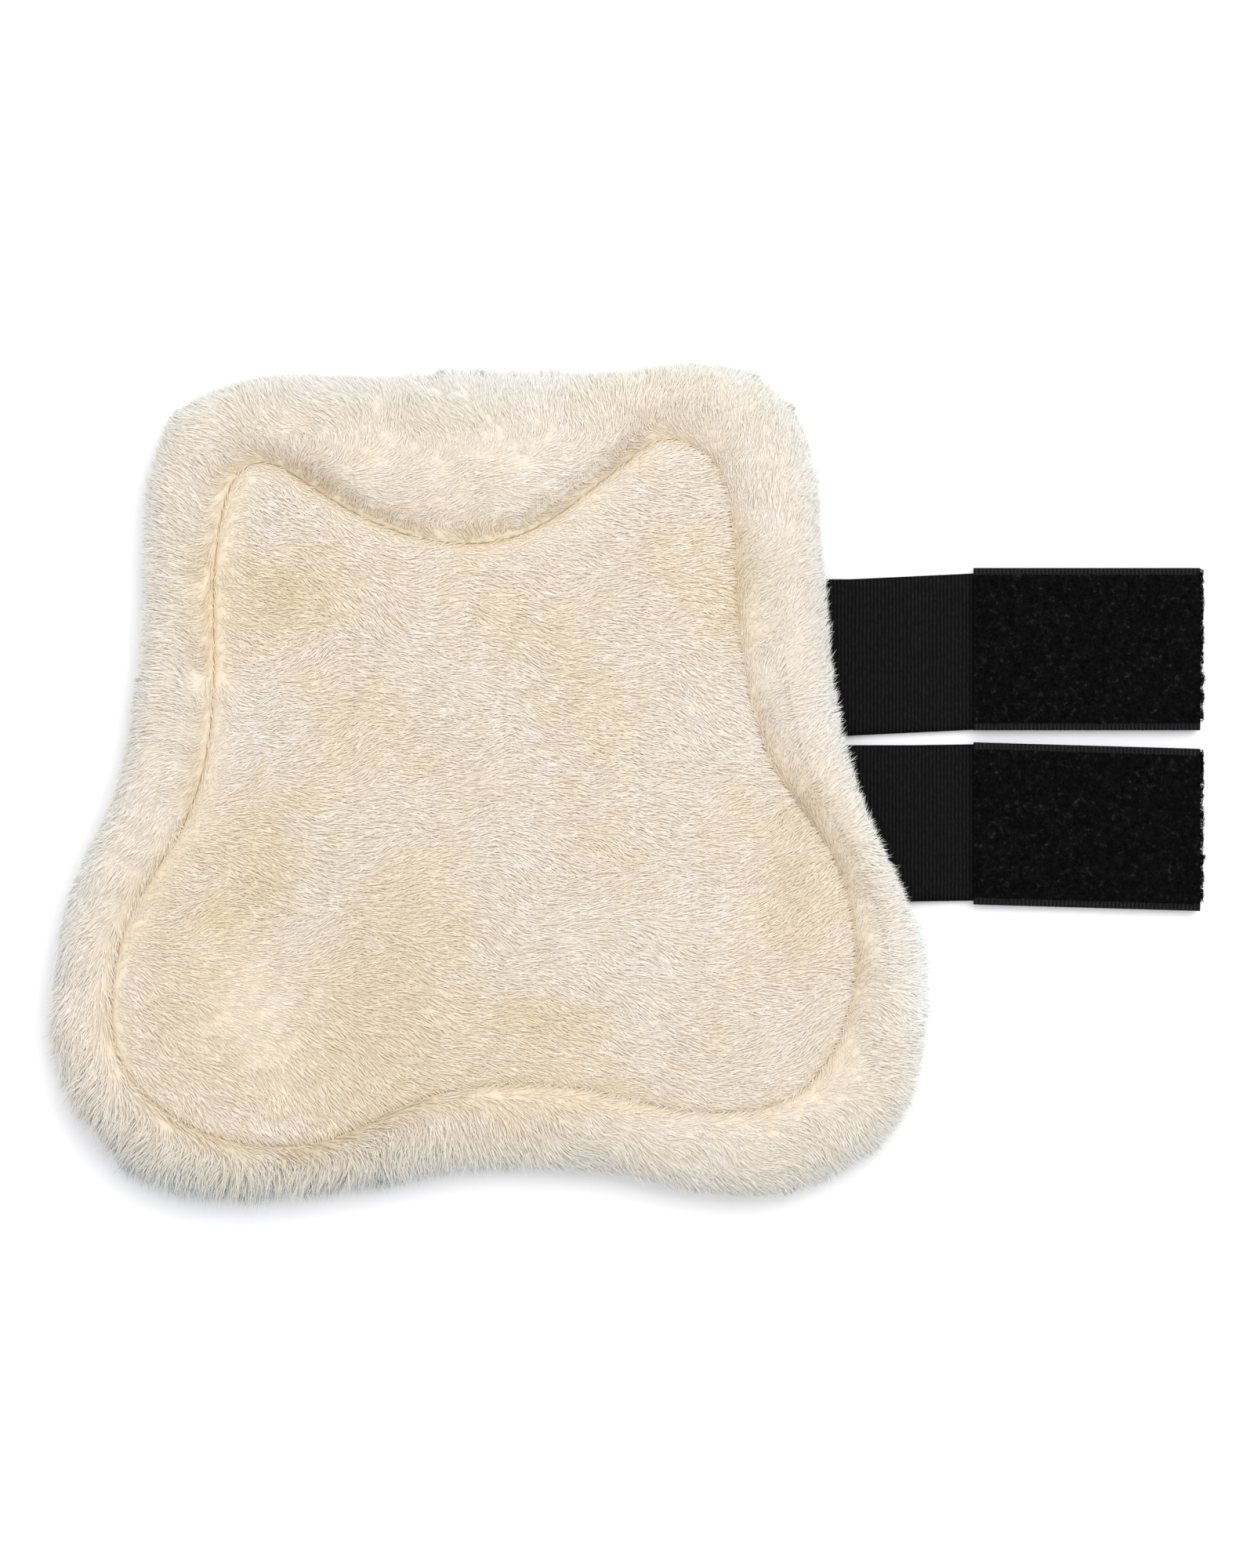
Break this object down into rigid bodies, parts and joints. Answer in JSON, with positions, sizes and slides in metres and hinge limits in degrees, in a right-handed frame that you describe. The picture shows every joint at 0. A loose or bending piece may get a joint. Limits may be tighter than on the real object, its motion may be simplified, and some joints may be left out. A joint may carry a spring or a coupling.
{
  "type": "fleece-lined horse leg boot",
  "caption": "Fleece-lined leg boot laid open: black shell, foam, cream pile lining with a rolled fleece edge, wings that wrap the leg and elastic straps with loop tape ends.",
  "frame": {"origin": "on the flat outer face of the strike pad, in the middle of the boot, where it rests when laid open", "axes": "+X along the straps towards their free ends, +Y up the leg, +Z from the outer shell towards the leg"},
  "size_m": [0.2796, 0.2015, 0.016],
  "materials": {
    "shell": "matt black grained synthetic leather, slightly worn at the edges",
    "foam": "dark closed-cell foam",
    "fleece": "cream synthetic sheepskin pile, combed sideways",
    "fleece_edge": "off-white synthetic sheepskin pile of the rolled edge",
    "strike_pad": "black moulded rubbery plastic, matt",
    "hook": "black nylon hook tape",
    "elastic": "black ribbed elastic webbing",
    "loop_tape": "black napped loop tape with woven edges",
    "thread": "black bonded sewing thread",
    "lining_thread": "cream sewing thread"
  },
  "bodies": {
    "pad_centre": {"shell_centre": "shell", "foam_centre": "foam", "lining_centre": "fleece", "edge_roll_centre": "fleece_edge", "strike_pad": "strike_pad"},
    "left_inner_wing": {"shell_left_inner": "shell", "foam_left_inner": "foam", "lining_left_inner": "fleece", "edge_roll_left_inner": "fleece_edge", "upper_hook_patch_inner": "hook", "lower_hook_patch_inner": "hook"},
    "left_outer_wing": {"shell_left_outer": "shell", "foam_left_outer": "foam", "lining_left_outer": "fleece", "edge_roll_left_outer": "fleece_edge", "upper_hook_patch_outer": "hook", "lower_hook_patch_outer": "hook"},
    "right_inner_wing": {"shell_right_inner": "shell", "foam_right_inner": "foam", "lining_right_inner": "fleece", "edge_roll_right_inner": "fleece_edge"},
    "right_outer_wing": {"shell_right_outer": "shell", "foam_right_outer": "foam", "lining_right_outer": "fleece", "edge_roll_right_outer": "fleece_edge", "upper_elastic_anchor": "elastic", "lower_elastic_anchor": "elastic"},
    "upper_strap": {"upper_elastic": "elastic"},
    "upper_strap_end": {"upper_elastic_end": "elastic", "upper_loop_tape": "loop_tape"},
    "lower_strap": {"lower_elastic": "elastic"},
    "lower_strap_end": {"lower_elastic_end": "elastic", "lower_loop_tape": "loop_tape"}
  },
  "joints": [
    {"name": "left_wrap", "type": "hinge", "parent": "pad_centre", "child": "left_inner_wing", "pos_m": [-0.018, 0, 0.0027], "axis": [0, 1, 0], "range_deg": [0, 70]},
    {"name": "left_edge_wrap", "type": "hinge", "parent": "left_inner_wing", "child": "left_outer_wing", "pos_m": [-0.044, 0, 0.0027], "axis": [0, 1, 0], "range_deg": [0, 70]},
    {"name": "right_wrap", "type": "hinge", "parent": "pad_centre", "child": "right_inner_wing", "pos_m": [0.02, 0, 0.0027], "axis": [0, -1, 0], "range_deg": [0, 50]},
    {"name": "right_edge_wrap", "type": "hinge", "parent": "right_inner_wing", "child": "right_outer_wing", "pos_m": [0.056, 0, 0.0027], "axis": [0, -1, 0], "range_deg": [0, 45]},
    {"name": "upper_strap_bend", "type": "hinge", "parent": "right_outer_wing", "child": "upper_strap", "pos_m": [0.0895, 0, 0.0016], "axis": [0, -1, 0], "range_deg": [0, 76]},
    {"name": "upper_tape_bend", "type": "hinge", "parent": "upper_strap", "child": "upper_strap_end", "pos_m": [0.1195, 0, 0.0016], "axis": [0, -1, 0], "range_deg": [0, 49]},
    {"name": "lower_strap_bend", "type": "hinge", "parent": "right_outer_wing", "child": "lower_strap", "pos_m": [0.1045, 0, 0.0016], "axis": [0, -1, 0], "range_deg": [0, 83]},
    {"name": "lower_tape_bend", "type": "hinge", "parent": "lower_strap", "child": "lower_strap_end", "pos_m": [0.1195, 0, 0.0016], "axis": [0, -1, 0], "range_deg": [0, 42]}
  ],
  "couplings": [
    {"joint": "left_edge_wrap", "follows": "left_wrap", "ratio": 1},
    {"joint": "right_edge_wrap", "follows": "right_wrap", "ratio": 0.9}
  ]
}
